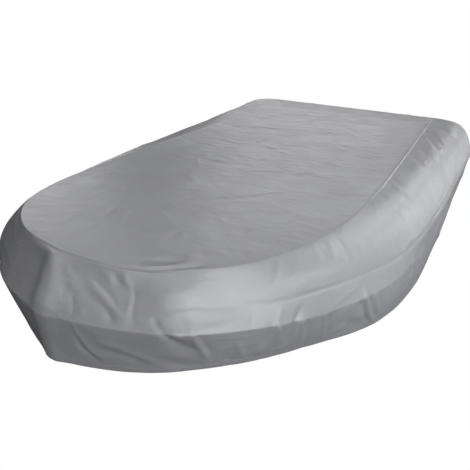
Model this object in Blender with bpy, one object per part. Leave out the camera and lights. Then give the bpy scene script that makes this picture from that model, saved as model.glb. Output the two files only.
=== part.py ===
"""Fitted cover for a small inflatable boat, in the shape it takes when drawn over the boat.

Two pieces of coated cloth are sewn together along a raised seam: a D-shaped top panel, and one
long side panel that goes right round over the tubes and the rubbing strake, tucks in below the
strake and ends in a turned hem. The side panel's ends meet in a seam at the bow. Below the top
the cover is hollow and open, because the boat itself is not part of it.

Frame: +Z up, bow towards -Y, stern towards +Y, starboard towards +X, metres. The origin is at
the middle of the cover's outline, level with the lowest point of its hem.
"""
import math

import bmesh
import bpy
import numpy as np

# ---- Driving dimensions ----
TRANSOM_WIDTH = 1.000     # top panel's width at the stern, seam to seam
CORNER_RADIUS = 0.030     # stern corners of the top panel
BOW_RISE = 0.099          # how much higher the seam is at the bow than at the stern
RISE_POWER = 3.0          # the rise is gentle aft and steep at the bow
STERN_FULLNESS = 0.63     # how far the cloth bellies aft, as a share of how far it bellies sideways
STERN_FALL = 0.012        # how much lower the cloth's shoulder lies behind the stern

CLOTH = 0.002             # thickness of the coated cloth
HEM_CLOTH = 0.0035        # thickness at the turned hem
SEAM_GAP = 0.0004         # clearance between the two sewn edges
SEAM_RIDGE = 0.004        # height of the turned-up seam allowance
SEAM_SPREAD = 0.010       # distance over which the ridge dies away
SEAM_LEAN = 0.25          # how far the sewn edges lean outward, as a slope
TOP_CROWN = -0.012        # how much the top stands above its seam along the sides: it sags
BOW_CROWN = 0.008         # the same at the bow, where the tube rolls forward
CROWN_REACH = 0.110       # distance from the seam over which the crown rises
CROWN_BEND = 0.030        # softness of the line where it levels off
SEAM_REACH = 0.004        # length of seam over which its direction is taken
BOW_CREASE = 0.015        # how far the bow seam stands proud of the cloth beside it
BOW_CREASE_REACH = 0.150  # distance over which that dies away
BOW_POINT = 0.004         # how far the top panel's seam is drawn forward at the bow seam
BOW_POINT_REACH = 0.050   # distance over which that dies away
SKIRT_BELLY = 0.006       # how far the skirt bellies out between the strake and the hem
WAVER = 0.003             # unevenness of the strake edge and the hem

# ---- Stations, from the bow seam to the stern corner ----
# rim_x and rim_y place the seam between the panels, rim_y counted forward from the stern. Each
# "out" and "drop" is a line on the side panel, measured outward and down from that seam. The
# cover sits a little unevenly: port_in moves the port seam inward, port_slack the port side's
# cloth outward, and port_sag its strake down.
STATION_COLUMNS = (
    "rim_x", "rim_y", "shoulder_out", "shoulder_drop", "crease_out", "crease_drop",
    "strake_out", "strake_drop", "hem_out", "hem_drop", "port_in", "port_slack", "port_sag")
STATIONS = np.array((
    (0.000, 2.140, 0.020, 0.035, 0.050, 0.080, 0.080, 0.120, 0.090, 0.260, 0.000, 0.000, 0.000),
    (0.180, 2.110, 0.020, 0.045, 0.050, 0.080, 0.080, 0.105, 0.060, 0.255, 0.000, 0.010, 0.020),
    (0.330, 2.000, 0.030, 0.050, 0.060, 0.090, 0.080, 0.115, 0.050, 0.250, 0.000, 0.030, 0.015),
    (0.430, 1.820, 0.055, 0.035, 0.080, 0.085, 0.100, 0.140, 0.065, 0.275, 0.010, -0.020, 0.010),
    (0.485, 1.580, 0.075, 0.035, 0.120, 0.100, 0.155, 0.155, 0.150, 0.285, 0.020, 0.010, 0.005),
    (0.500, 1.250, 0.095, 0.030, 0.165, 0.120, 0.185, 0.180, 0.195, 0.310, 0.000, 0.010, 0.000),
    (0.500, 0.725, 0.125, 0.025, 0.205, 0.130, 0.220, 0.200, 0.215, 0.290, 0.000, 0.010, 0.000),
    (0.500, 0.030, 0.160, 0.020, 0.240, 0.140, 0.240, 0.215, 0.220, 0.290, 0.000, 0.000, 0.000)))
ODD_COLUMNS = ("rim_x", "hem_out", "hem_drop")   # change sign, or turn a corner, at the bow seam
SIDE_LINES = ("shoulder", "crease", "strake", "hem")

# broad folds down the whole side: length from the bow seam, half width, and how far out they push
BROAD_FOLDS = (
    (0.285, 0.070, 0.020),)
BROAD_LIFT = 0.75         # how far they lift the cloth for each length they push it out

# ---- Mesh density ----
STERN_QUADS = 22          # top panel quads across the stern, and round the bow
SIDE_QUADS = 36           # and along each side
BOW_QUARTER = 0.60        # how far from the bow seam the bow ends and the side begins
TOP_RINGS = (0.009, 0.024)   # insets of the first lines of the top panel from its seam
RELAX_STEPS = 300
# stretches, by length from the bow seam, where the side panel has two quads to the top's one
FINE_STRETCHES = ((-2.40, -1.65), (-0.12, 0.96), (1.02, 2.42))
CORNER_PARTS = 5          # and at a stern corner, on either side of it
# lines down the side panel: 0 seam, 1 shoulder, 2 crease, 3 strake edge, 4 hem
SIDE_ROWS = (0.0, 0.08, 0.25, 0.60, 1.0, 1.33, 1.66, 2.0, 2.5, 3.0, 3.12, 3.55, 4.0)

# ---- Folds of the side panel ----
# along: the fold's head, in metres from the bow seam, starboard positive; start and end: the
# lines of SIDE_ROWS it runs between; slant: how much further from the bow seam its foot lies;
# height: a ridge is positive, a trough negative
FOLD_COLUMNS = ("along", "start", "end", "slant", "width", "height")
SIDE_FOLDS = (
    # pleats that fan out from the starboard stern corner
    (2.440, 0.10, 1.50, -0.120, 0.030, 0.006),
    (2.365, 0.05, 1.50, -0.270, 0.034, -0.007),
    (2.290, 0.05, 1.35, -0.300, 0.030, 0.006),
    (2.215, 0.05, 1.20, -0.330, 0.030, -0.005),
    (2.110, 0.05, 1.10, -0.240, 0.030, 0.005),
    (2.013, 0.05, 1.10, -0.200, 0.028, -0.004),
    (1.870, 0.05, 1.10, -0.150, 0.040, 0.004),
    (1.731, 0.10, 1.20, -0.110, 0.030, -0.004),
    # long folds of the starboard side
    (1.326, 0.10, 1.50, -0.115, 0.026, -0.005),
    (1.250, 0.10, 1.40, -0.105, 0.030, 0.004),
    (1.159, 0.05, 1.45, -0.110, 0.026, -0.004),
    (0.696, 0.50, 1.50, -0.020, 0.026, -0.003),
    (0.523, 0.30, 1.90, -0.060, 0.026, 0.003),
    # diagonal folds beside the bow
    (0.067, 0.80, 3.90, 0.050, 0.026, 0.006),
    (0.114, 0.50, 2.30, 0.075, 0.026, 0.005),
    (0.146, 0.80, 2.70, 0.050, 0.024, -0.005),
    (0.204, 1.40, 2.90, 0.010, 0.026, 0.003),
    # folds of the starboard skirt
    (0.240, 2.30, 3.70, 0.045, 0.030, -0.007),
    (0.300, 2.30, 3.95, 0.045, 0.028, 0.006),
    (0.497, 2.20, 3.95, -0.050, 0.028, 0.006),
    (0.541, 2.40, 3.90, -0.030, 0.026, -0.006),
    (0.602, 2.90, 4.00, 0.035, 0.028, 0.005),
    (0.735, 2.60, 4.00, 0.060, 0.026, 0.007),
    (0.775, 3.00, 4.00, 0.060, 0.026, -0.007),
    (0.868, 2.90, 3.90, 0.020, 0.026, 0.004),
    (1.420, 2.70, 3.95, 0.050, 0.030, 0.005),
    (1.900, 2.60, 3.95, -0.040, 0.030, -0.006),
    (2.250, 2.60, 3.95, -0.060, 0.034, 0.006),
    # port side and stern
    (-2.430, 0.10, 1.50, 0.140, 0.032, 0.006),
    (-2.340, 0.05, 1.40, 0.260, 0.034, -0.006),
    (-2.240, 0.05, 1.20, 0.280, 0.030, 0.005),
    (-2.120, 0.05, 1.15, 0.220, 0.030, -0.005),
    (-1.960, 0.05, 1.10, 0.160, 0.034, 0.004),
    (-1.780, 0.10, 1.30, 0.110, 0.032, -0.004),
    (-1.260, 0.30, 1.80, 0.090, 0.060, -0.005),
    (-0.800, 2.10, 3.95, -0.060, 0.055, 0.006),
    (-0.420, 0.60, 2.60, -0.060, 0.055, 0.005),
    (-0.240, 2.20, 3.95, -0.050, 0.050, -0.006),
    (-1.650, 2.50, 3.95, 0.060, 0.050, -0.006),
    (-2.700, 1.20, 3.80, 0.050, 0.060, -0.006),
    (2.740, 0.60, 3.60, -0.060, 0.060, 0.006))

# ---- Broad folds of the top panel ----
# x and y: the fold's middle, y counted forward from the stern; turn: its direction in degrees,
# 0 athwartships, positive when it runs forward towards starboard
TOP_FOLD_COLUMNS = ("x", "y", "turn", "half_length", "width", "height")
TOP_FOLDS = (
    (-0.165, 0.620, -13.0, 0.200, 0.040, 0.004),
    (0.120, 0.300, -8.0, 0.260, 0.045, -0.004),
    (-0.180, 0.260, -14.0, 0.180, 0.040, 0.004),
    (-0.240, 0.900, -22.0, 0.160, 0.050, 0.003),
    (0.080, 1.234, -24.0, 0.120, 0.040, 0.004),
    (0.160, 1.530, -47.0, 0.170, 0.040, 0.004),
    (-0.090, 1.930, 35.0, 0.080, 0.040, 0.004),
    (-0.250, 1.560, -40.0, 0.160, 0.050, -0.004),
    (0.315, 1.745, -52.0, 0.080, 0.036, 0.003),
    (0.236, 2.045, -33.0, 0.090, 0.022, -0.006),
    (0.215, 2.020, -33.0, 0.100, 0.026, 0.004))

# ---- Finish ----
TOP_COLOUR = (0.36, 0.37, 0.39, 1.0)
SIDE_COLOUR = (0.38, 0.39, 0.41, 1.0)
ROUGHNESS = 0.5


def station_curve(column, t):
    """A station column read along the boat, t from 0 at the bow seam to 1 at the stern corner."""
    values = STATIONS[:, STATION_COLUMNS.index(column)]
    before = 2.0 * values[0] - values[1] if column in ODD_COLUMNS else values[1]
    padded = np.concatenate([[before], values, [2.0 * values[-1] - values[-2]]])
    place = np.clip(np.asarray(t, float), 0.0, 1.0) * (len(values) - 1)
    row = np.minimum(place.astype(int), len(values) - 2)
    f = place - row
    p0, p1, p2, p3 = (padded[row + k] for k in range(4))
    return catmull_rom(p0, p1, p2, p3, f)


def catmull_rom(p0, p1, p2, p3, f):
    """The smooth curve from p1 to p2 at the fraction f."""
    linear = (p2 - p0) * f
    square = (2 * p0 - 5 * p1 + 4 * p2 - p3) * f ** 2
    cube = (3 * p1 - p0 - 3 * p2 + p3) * f ** 3
    return p1 + 0.5 * (linear + square + cube)


def smooth_step(x):
    """0 below 0, 1 above 1, and a soft rise between."""
    x = np.clip(x, 0.0, 1.0)
    return x * x * (3.0 - 2.0 * x)


def half_outline():
    """Half the seam, bow to middle of the stern: rows of x, y, station, length and port x."""
    t = np.linspace(0.0, 1.0, 600)
    side = np.column_stack([station_curve("rim_x", t), -station_curve("rim_y", t), t])
    turn = np.linspace(0.0, math.pi / 2, 24)[1:]
    middle = TRANSOM_WIDTH / 2 - CORNER_RADIUS
    corner = np.column_stack([
        middle + CORNER_RADIUS * np.cos(turn), CORNER_RADIUS * (np.sin(turn) - 1.0),
        np.ones(len(turn))])
    across = np.linspace(middle, 0.0, 60)[1:]
    stern = np.column_stack([across, np.zeros(len(across)), np.ones(len(across))])
    line = np.concatenate([side, corner, stern])
    steps = np.linalg.norm(np.diff(line[:, :2], axis=0), axis=1)
    length = np.concatenate([[0.0], np.cumsum(steps)])
    return np.column_stack([line, length, station_curve("port_in", line[:, 2]) - line[:, 0]])


OUTLINE = half_outline()
HALF_LENGTH = OUTLINE[-1, 3]
CORNER_ARC = CORNER_RADIUS * math.pi / 2
CORNER_ALONG = HALF_LENGTH - TRANSOM_WIDTH / 2 + CORNER_RADIUS - CORNER_ARC / 2


def seam_place(along):
    """Place of the seam in plan, for signed lengths from the bow."""
    length = np.abs(along)
    port, starboard, y = (np.interp(length, OUTLINE[:, 3], OUTLINE[:, k]) for k in (4, 0, 1))
    y = y - BOW_POINT * np.clip(1.0 - length / BOW_POINT_REACH, 0.0, 1.0) ** 2
    return np.where(along < 0.0, port, starboard), y


def rim(along):
    """Points on the seam, stations and outward directions, for signed lengths from the bow."""
    along = np.asarray(along, float)
    x, y = seam_place(along)
    t = np.interp(np.abs(along), OUTLINE[:, 3], OUTLINE[:, 2])
    ahead_x, ahead_y = seam_place(along + SEAM_REACH)
    behind_x, behind_y = seam_place(along - SEAM_REACH)
    dx, dy = ahead_x - behind_x, ahead_y - behind_y
    past_stern = np.abs(along) > HALF_LENGTH - 2 * SEAM_REACH
    dx = np.where(past_stern, -1.0, dx)
    dy = np.where(past_stern, 0.0, dy)
    size = np.hypot(dx, dy)
    return x, y, t, dy / size, -dx / size


def rise(y):
    """Height of the seam above its height at the stern."""
    return BOW_RISE * (np.clip(-y, 0.0, None) / STATIONS[0, 1]) ** RISE_POWER


def seam_columns():
    """Signed lengths of the top panel's corners round the seam: stern, port, bow, starboard."""
    arc = CORNER_ARC / 2
    stern = np.linspace(CORNER_ALONG + arc, HALF_LENGTH, STERN_QUADS // 2)
    stern = np.concatenate([[CORNER_ALONG], stern])
    side = np.linspace(CORNER_ALONG - arc, BOW_QUARTER, SIDE_QUADS)
    side = np.concatenate([[CORNER_ALONG], side])
    bow = np.linspace(-BOW_QUARTER, BOW_QUARTER, STERN_QUADS + 1)
    loop = [stern[:-1], -stern[::-1][:-1], -side[:-1], bow[:-1], side[::-1][:-1]]
    return np.concatenate(loop)


def side_columns(along):
    """The side panel's columns: each one's length, the seam corner before it, and its share."""
    columns = []
    for k, start in enumerate(along):
        end = along[(k + 1) % len(along)]
        if abs(end - start) > HALF_LENGTH:
            end -= math.copysign(2 * HALF_LENGTH, end - start)
        middle = abs(start + end) / 2
        if abs(middle - CORNER_ALONG) < CORNER_ARC / 2:
            parts = CORNER_PARTS
        elif any(low < (start + end) / 2 < high for low, high in FINE_STRETCHES):
            parts = 2
        else:
            parts = 1
        for part in range(parts):
            columns.append((start + (end - start) * part / parts, k, part / parts))
    lengths, before, share = (np.array(column) for column in zip(*columns))
    return lengths, before.astype(int), share


def fold_height(folds, columns, along, down):
    """Sum of a table of side folds, at places given by length along and by line down."""
    total = np.zeros(np.broadcast(along, down).shape)
    for row in folds:
        fold = dict(zip(columns, row))
        share = (down - fold["start"]) / (fold["end"] - fold["start"])
        middle = fold["along"] + fold["slant"] * np.clip(share, 0.0, 1.0)
        across = (along - middle) / fold["width"]
        fade = smooth_step(share / 0.25) * smooth_step((1.0 - share) / 0.35)
        total += fold["height"] * np.exp(-across ** 2) * fade
    return total


def side_surface(along, down):
    """The side panel's outer face, without its folds, for lengths along and lines down."""
    x, y, t, out_x, out_y = rim(along)
    aft = np.where(t < 1.0, 0.0, np.clip(out_y, 0.0, 1.0))
    belly = np.hypot(np.sqrt(1.0 - aft ** 2), STERN_FULLNESS * aft)
    slack = np.where(along < 0.0, station_curve("port_slack", t), 0.0) * (1.0 - aft ** 2)
    sag = np.where(along < 0.0, station_curve("port_sag", t), 0.0)
    outs = [np.zeros_like(x)]
    drops = [np.zeros_like(x)]
    for line in SIDE_LINES:
        outs.append(station_curve(line + "_out", t) * belly)
        drops.append(station_curve(line + "_drop", t))
    outs[1] = outs[1] + slack
    outs[2] = outs[2] + slack
    outs[3] = outs[3] + 0.6 * slack
    drops[1] = drops[1] + STERN_FALL * aft
    drops[2] = drops[2] + 0.5 * sag
    drops[3] = drops[3] + sag
    waver = WAVER * (np.sin(5.3 * along + 0.6) + 0.7 * np.sin(11.9 * along + 2.0))
    outs[3] = outs[3] + waver
    drops[4] = drops[4] + waver * 0.8
    out = down_the_side(-0.2 * outs[1], outs, down)
    drop = down_the_side(0.5 * drops[1], drops, down)
    near = np.clip(1.0 - np.abs(along) / BOW_CREASE_REACH, 0.0, 1.0) ** 2
    out += BOW_CREASE * near * smooth_step(down / 0.3) * (1.0 - 0.7 * smooth_step((down - 2.4) / 1.2))
    broad = sum(height * np.exp(-((along - middle) / width) ** 2)
                for middle, width, height in BROAD_FOLDS)
    broad = broad * smooth_step(down) * (1.0 - 0.8 * smooth_step((down - 3.0) / 0.8))
    out += broad
    drop -= BROAD_LIFT * broad
    belly = SKIRT_BELLY * (0.4 + 0.6 * smooth_step((np.abs(along) - 0.3) / 0.5))
    out += belly * np.sin(math.pi * np.clip(down - 3.0, 0.0, 1.0))
    return np.column_stack([x + out_x * out, y + out_y * out, rise(y) - drop])


def down_the_side(lead, lines, down):
    """A smooth curve through the lines of the side panel, with a corner at the strake."""
    seam, shoulder, crease, strake, hem = lines
    spans = (
        (lead, seam, shoulder, crease), (seam, shoulder, crease, strake),
        (shoulder, crease, strake, 2 * strake - crease),
        (2 * strake - hem, strake, hem, 2 * hem - strake))
    row = np.minimum(down.astype(int), len(spans) - 1)
    value = np.zeros_like(lead)
    for k, span in enumerate(spans):
        value = np.where(row == k, catmull_rom(*span, down - row), value)
    return value


def seam_bump(distance):
    """Height of the turned-up seam allowance at a distance from the seam."""
    return SEAM_RIDGE * np.exp(-(distance / SEAM_SPREAD) ** 2)


def vertex_normals(points, quads):
    """Outward directions at the points of a net of quads that run anticlockwise from outside."""
    corners = points[quads]
    face = np.cross(corners[:, 2] - corners[:, 0], corners[:, 3] - corners[:, 1])
    total = np.zeros_like(points)
    for k in range(4):
        np.add.at(total, quads[:, k], face)
    return total / np.linalg.norm(total, axis=1)[:, None]


def seam_normals(along):
    """The direction that both sewn edges stand in, so that their cut faces run parallel."""
    _, _, _, out_x, out_y = rim(along)
    lean = np.column_stack([SEAM_LEAN * out_x, SEAM_LEAN * out_y, np.ones(len(along))])
    return lean / np.linalg.norm(lean, axis=1)[:, None]


def ring_quads(first, second, count):
    """Quads between two closed rows of vertices, given by their first indices."""
    k = np.arange(count)
    after = (k + 1) % count
    return np.column_stack([first + k, second + k, second + after, first + after])


def side_panel_net(along):
    """Outer points and quads of the side panel, with its folds."""
    count = len(along)
    rows = [side_surface(along, np.full(count, down)) for down in SIDE_ROWS]
    points = np.concatenate(rows)
    quads = np.concatenate([
        ring_quads(r * count, (r + 1) * count, count) for r in range(len(SIDE_ROWS) - 1)])
    distance = np.linalg.norm(points - np.tile(rows[0], (len(SIDE_ROWS), 1)), axis=1)
    points[:, 2] += seam_bump(distance)
    normals = vertex_normals(points, quads)
    down = np.repeat(SIDE_ROWS, count)
    height = fold_height(SIDE_FOLDS, FOLD_COLUMNS, np.tile(along, len(SIDE_ROWS)), down)
    points += normals * height[:, None]
    return points, quads


def relaxed_grid(loop, across, deep):
    """Fill a closed loop with a grid, evened out until each point is its neighbours' mean."""
    grid = np.zeros((across + 1, deep + 1, 2))
    grid[:, 0] = loop[:across + 1]
    grid[across, :] = loop[across:across + deep + 1]
    grid[::-1, deep] = loop[across + deep:2 * across + deep + 1]
    grid[0, ::-1] = np.concatenate([loop[2 * across + deep:], loop[:1]])
    u = np.linspace(0.0, 1.0, across + 1)[:, None, None]
    v = np.linspace(0.0, 1.0, deep + 1)[None, :, None]
    straight = (1 - u) * grid[:1] + u * grid[-1:] + (1 - v) * grid[:, :1] + v * grid[:, -1:]
    corners = ((1 - u) * (1 - v) * grid[0, 0] + u * (1 - v) * grid[-1, 0]
               + (1 - u) * v * grid[0, -1] + u * v * grid[-1, -1])
    grid[1:-1, 1:-1] = (straight - corners)[1:-1, 1:-1]
    for _ in range(RELAX_STEPS):
        around = grid[2:, 1:-1] + grid[:-2, 1:-1] + grid[1:-1, 2:] + grid[1:-1, :-2]
        grid[1:-1, 1:-1] = around / 4
    return grid


def top_height(x, y):
    """Height of the top panel over a point in plan: rise, crown, seam ridge and broad folds."""
    edge = np.concatenate([OUTLINE[:, [0, 1]], OUTLINE[:, [4, 1]]])
    gap = np.hypot(x[:, None] - edge[None, :, 0], y[:, None] - edge[None, :, 1])
    distance = gap.min(axis=1)
    forward = smooth_step((-y - 1.2) / 0.9)
    crown = TOP_CROWN + (BOW_CROWN - TOP_CROWN) * forward
    start = math.hypot(CROWN_REACH, CROWN_BEND)
    share = distance + start - np.hypot(distance - CROWN_REACH, CROWN_BEND)
    z = rise(y) + crown * share / (CROWN_REACH + start) + seam_bump(distance)
    for row in TOP_FOLDS:
        fold = dict(zip(TOP_FOLD_COLUMNS, row))
        turn = math.radians(fold["turn"])
        dx, dy = x - fold["x"], -y - fold["y"]
        lengthwise = dx * math.cos(turn) + dy * math.sin(turn)
        across = -dx * math.sin(turn) + dy * math.cos(turn)
        fade = np.exp(-(lengthwise / fold["half_length"]) ** 4)
        fade = fade * smooth_step(distance / 0.06)
        z += fold["height"] * np.exp(-(across / fold["width"]) ** 2) * fade
    return z


def top_panel_net(along):
    """Outer points and quads of the top panel: two rings along the seam, and a grid inside."""
    count = len(along)
    deep = SIDE_QUADS
    x, y, _, out_x, out_y = rim(along)
    rings = [np.column_stack([x - out_x * inset, y - out_y * inset]) for inset in
             (0.0,) + TOP_RINGS]
    grid = relaxed_grid(rings[-1], STERN_QUADS, deep)
    inner = grid[1:-1, 1:-1].reshape(-1, 2)
    plan = np.concatenate(rings + [inner])
    number = np.zeros((STERN_QUADS + 1, deep + 1), int)
    base = (len(rings) - 1) * count
    loop = base + np.arange(count)
    number[:, 0] = loop[:STERN_QUADS + 1]
    number[STERN_QUADS, :] = loop[STERN_QUADS:STERN_QUADS + deep + 1]
    number[::-1, deep] = loop[STERN_QUADS + deep:2 * STERN_QUADS + deep + 1]
    number[0, ::-1] = np.concatenate([loop[2 * STERN_QUADS + deep:], loop[:1]])
    number[1:-1, 1:-1] = (base + count + np.arange(len(inner))).reshape(STERN_QUADS - 1, deep - 1)
    grid_quads = np.stack([
        number[:-1, :-1], number[1:, :-1], number[1:, 1:], number[:-1, 1:]], axis=-1)
    quads = [ring_quads((r + 1) * count, r * count, count) for r in range(len(rings) - 1)]
    quads.append(grid_quads.reshape(-1, 4))
    points = np.column_stack([plan, top_height(plan[:, 0], plan[:, 1])])
    return points, np.concatenate(quads)


def cloth_solid(name, points, quads, normals, thickness, borders, colour):
    """A closed sheet: the net, the same net a cloth's thickness below, and walls at its borders."""
    count = len(points)
    inner = points - normals * thickness[:, None]
    mesh_points = np.concatenate([points, inner])
    faces = [list(map(int, quad)) for quad in quads]
    faces += [[int(k) + count for k in quad[::-1]] for quad in quads]
    for border in borders:
        after = np.roll(border, -1)
        for a, b in zip(border, after):
            faces.append([int(b), int(a), int(a) + count, int(b) + count])
    mesh = bpy.data.meshes.new(name)
    mesh.from_pydata([tuple(p) for p in mesh_points], [], faces)
    tidy = bmesh.new()
    tidy.from_mesh(mesh)
    bmesh.ops.recalc_face_normals(tidy, faces=tidy.faces)
    tidy.to_mesh(mesh)
    tidy.free()
    mesh.shade_smooth()
    mesh.set_sharp_from_angle(angle=math.radians(40))
    mesh.materials.append(coated_cloth(name + "_cloth", colour))
    piece = bpy.data.objects.new(name, mesh)
    bpy.context.scene.collection.objects.link(piece)
    return piece


def coated_cloth(name, colour):
    """Grey coated polyester with a soft gloss."""
    material = bpy.data.materials.new(name)
    material.use_nodes = True
    shader = material.node_tree.nodes["Principled BSDF"]
    shader.inputs["Base Color"].default_value = colour
    shader.inputs["Roughness"].default_value = ROUGHNESS
    shader.inputs["Metallic"].default_value = 0.0
    return material


def between(values, before, share):
    """Values read on the straight lines from each corner of the seam to the next."""
    after = (before + 1) % len(values)
    return values[before] * (1.0 - share[:, None]) + values[after] * share[:, None]


def build():
    """Model the two panels and stand them on the origin."""
    for thing in list(bpy.data.objects):
        bpy.data.objects.remove(thing)
    along = seam_columns()
    count = len(along)
    _, _, _, out_x, out_y = rim(along)
    ease = np.column_stack([out_x, out_y, np.zeros(count)]) * (SEAM_GAP / 2)
    seam = seam_normals(along)

    top, top_quads = top_panel_net(along)
    top_normals = vertex_normals(top, top_quads)
    top_normals[:count] = seam
    edge = top[:count].copy()
    top[:count] = edge - ease
    top_cloth = np.full(len(top), CLOTH)

    lengths, before, share = side_columns(along)
    columns = len(lengths)
    side, side_quads = side_panel_net(lengths)
    side_normals = vertex_normals(side, side_quads)
    side[:columns] = between(edge + ease, before, share)
    side_normals[:columns] = between(seam, before, share)
    side_cloth = np.full(len(side), CLOTH)
    side_cloth[-columns:] = HEM_CLOTH

    low = side.min(axis=0)
    high = side.max(axis=0)
    origin = np.array([(low[0] + high[0]) / 2, (low[1] + high[1]) / 2, low[2]])
    cloth_solid("top_panel", top - origin, top_quads, top_normals, top_cloth,
                [np.arange(count)], TOP_COLOUR)
    hem = len(side) - columns
    cloth_solid("side_panel", side - origin, side_quads, side_normals, side_cloth,
                [np.arange(columns)[::-1], hem + np.arange(columns)], SIDE_COLOUR)


build()
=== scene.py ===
import math

import bpy
import numpy as np
from mathutils.kdtree import KDTree
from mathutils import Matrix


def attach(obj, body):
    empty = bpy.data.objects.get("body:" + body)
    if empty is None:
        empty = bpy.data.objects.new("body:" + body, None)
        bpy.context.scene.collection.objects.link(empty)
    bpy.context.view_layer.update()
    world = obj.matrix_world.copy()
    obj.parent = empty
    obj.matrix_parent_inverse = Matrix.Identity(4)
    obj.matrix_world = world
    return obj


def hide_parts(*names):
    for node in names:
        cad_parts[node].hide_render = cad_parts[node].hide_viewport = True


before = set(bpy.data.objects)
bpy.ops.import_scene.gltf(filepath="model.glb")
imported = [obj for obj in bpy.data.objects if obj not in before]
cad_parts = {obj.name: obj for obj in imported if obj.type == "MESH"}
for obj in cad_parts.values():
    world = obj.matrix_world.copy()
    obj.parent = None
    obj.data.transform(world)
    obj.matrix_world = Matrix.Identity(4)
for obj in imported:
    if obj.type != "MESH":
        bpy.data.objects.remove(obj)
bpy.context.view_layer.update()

# ---- The cover's form, as the solids have it (metres; bow towards -Y, starboard towards +X) ----
# along: length round the seam from the bow seam, to starboard above 0. down: line of the side
# panel, 0 seam, 1 shoulder, 2 crease, 3 strake, 4 hem. t: 0 at the bow seam to 1 at the stern.
ORIGIN = np.array((0.0, -1.0385, -0.2940))  # the frame's origin, from the middle of the stern seam
TRANSOM_WIDTH = 1.000
CORNER_RADIUS = 0.030
BOW_RISE = 0.099
RISE_POWER = 3.0
STERN_FULLNESS = 0.63
STERN_FALL = 0.012
TOP_CROWN = -0.012
BOW_CROWN = 0.008
BOW_CROWN_START = 1.2  # distance from the stern where that begins
BOW_CROWN_LENGTH = 0.9
CROWN_REACH = 0.110
CROWN_BEND = 0.030
SEAM_REACH = 0.004
BOW_CREASE = 0.015
BOW_CREASE_REACH = 0.150
BOW_CREASE_SOFT = (0.001, 0.004)  # how blunt it is at the seam, and what each line down adds
BOW_CREASE_START = 0.3  # line by which it is whole
BOW_CREASE_FADE = (2.4, 1.2, 0.7)  # line where it starts to fade, lines that takes, share lost
BOW_POINT = 0.004
BOW_POINT_REACH = 0.050
SKIRT_BELLY = 0.006
BELLY_GROWTH = (0.3, 0.5, 0.6)  # where it starts to grow, over what length, share gained
WAVER = 0.003
WAVER_WAVES = ((5.3, 0.6, 1.0), (11.9, 2.0, 0.7))  # radians a metre, phase, share
SLACK_SHARES = (1.0, 1.0, 0.6, 0.0)  # share of the port slack that each line has
SAG_SHARES = (0.0, 0.5, 1.0, 0.0)
HEM_WAVER = 0.8  # share of the strake's waver that the hem has
LEAD_OUT = -0.2  # the curve's way into the seam, as shares of the shoulder
LEAD_DROP = 0.5
SHOULDER, STRAKE, HEM = 1, 3, 4
STRAKE_SOFTNESS = 0.035  # half width of the strake's rounded edge, in lines
STRAKE_REACH = 0.3  # lines over which that rounding dies away
STATION_COLUMNS = (
    "rim_x", "rim_y", "shoulder_out", "shoulder_drop", "crease_out", "crease_drop",
    "strake_out", "strake_drop", "hem_out", "hem_drop", "port_in", "port_slack", "port_sag")
STATIONS = np.array((
    (0.000, 2.140, 0.020, 0.035, 0.050, 0.080, 0.080, 0.120, 0.090, 0.260, 0.000, 0.000, 0.000),
    (0.180, 2.110, 0.020, 0.045, 0.050, 0.080, 0.080, 0.105, 0.060, 0.255, 0.000, 0.010, 0.020),
    (0.330, 2.000, 0.030, 0.050, 0.060, 0.090, 0.080, 0.115, 0.050, 0.250, 0.000, 0.030, 0.015),
    (0.430, 1.820, 0.055, 0.035, 0.080, 0.085, 0.100, 0.140, 0.065, 0.275, 0.010, -0.020, 0.010),
    (0.485, 1.580, 0.075, 0.035, 0.120, 0.100, 0.155, 0.155, 0.150, 0.285, 0.020, 0.010, 0.005),
    (0.500, 1.250, 0.095, 0.030, 0.165, 0.120, 0.185, 0.180, 0.195, 0.310, 0.000, 0.010, 0.000),
    (0.500, 0.725, 0.125, 0.025, 0.205, 0.130, 0.220, 0.200, 0.215, 0.290, 0.000, 0.010, 0.000),
    (0.500, 0.030, 0.160, 0.020, 0.240, 0.140, 0.240, 0.215, 0.220, 0.290, 0.000, 0.000, 0.000)))
ODD_COLUMNS = ("rim_x", "hem_out", "hem_drop")
SIDE_LINES = ("shoulder", "crease", "strake", "hem")
OUTLINE_STEPS = (600, 24, 60)  # points along a side, round a stern corner, half the stern

# the broad fold down the whole side
BROAD_FOLD_PLACE = 0.285
BROAD_FOLD_WIDTH = 0.070  # half of it
BROAD_FOLD_OUT = 0.020
BROAD_LIFT = 0.75  # how far it lifts the cloth for each length it pushes it out
BROAD_FADE = (3.0, 0.8, 0.8)  # line where it starts to fade, lines that takes, share lost

# ---- The cloth ----
CLOTH = 0.0012  # thickness shown
HEM_CLOTH = 0.0030  # thickness of the turned hem
HEM_CLOTH_LINE = 3.84  # line from which that begins
SEAM_GAP = 0.0001
SEAM_RIDGE = 0.006  # height of the turned-up seam allowance
RIDGE_FLAT = 0.0010  # half its flat width
RIDGE_FALL = 0.0080  # width of its flank
SEAM_LEAN = 0.25  # outward slope of the side panel's sewn edge
SEAM_LEAN_REACH = 0.02  # length down the cloth over which that ends
TOP_EDGE_LEAN = 0.50  # the top panel's, which slants more, clear of the allowance
# the side panel's seam allowance, turned under the top panel: inset from the seam and depth
ALLOWANCE = ((0.0055, 0.0018), (0.0006, 0.0014))
# how much of the ridge shows, by length from the bow seam: below 0 the seam lies in a groove
RIDGE_SHARES = (
    (-2.90, 0.00), (-2.45, 0.00), (-2.30, 0.15), (-0.60, 0.10), (-0.30, 0.05), (0.00, 0.00),
    (0.12, -0.20), (0.16, -0.80), (0.24, -0.80), (0.30, 0.00), (0.95, 0.00), (1.25, 0.35),
    (1.60, 0.80), (2.36, 0.80), (2.42, 0.00), (2.90, 0.00))
HEM_TURN = 0.020  # depth of the turned hem
HEM_STEP = 0.0004  # how far it stands proud
HEM_STEP_FALL = 0.002  # width of that step

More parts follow.
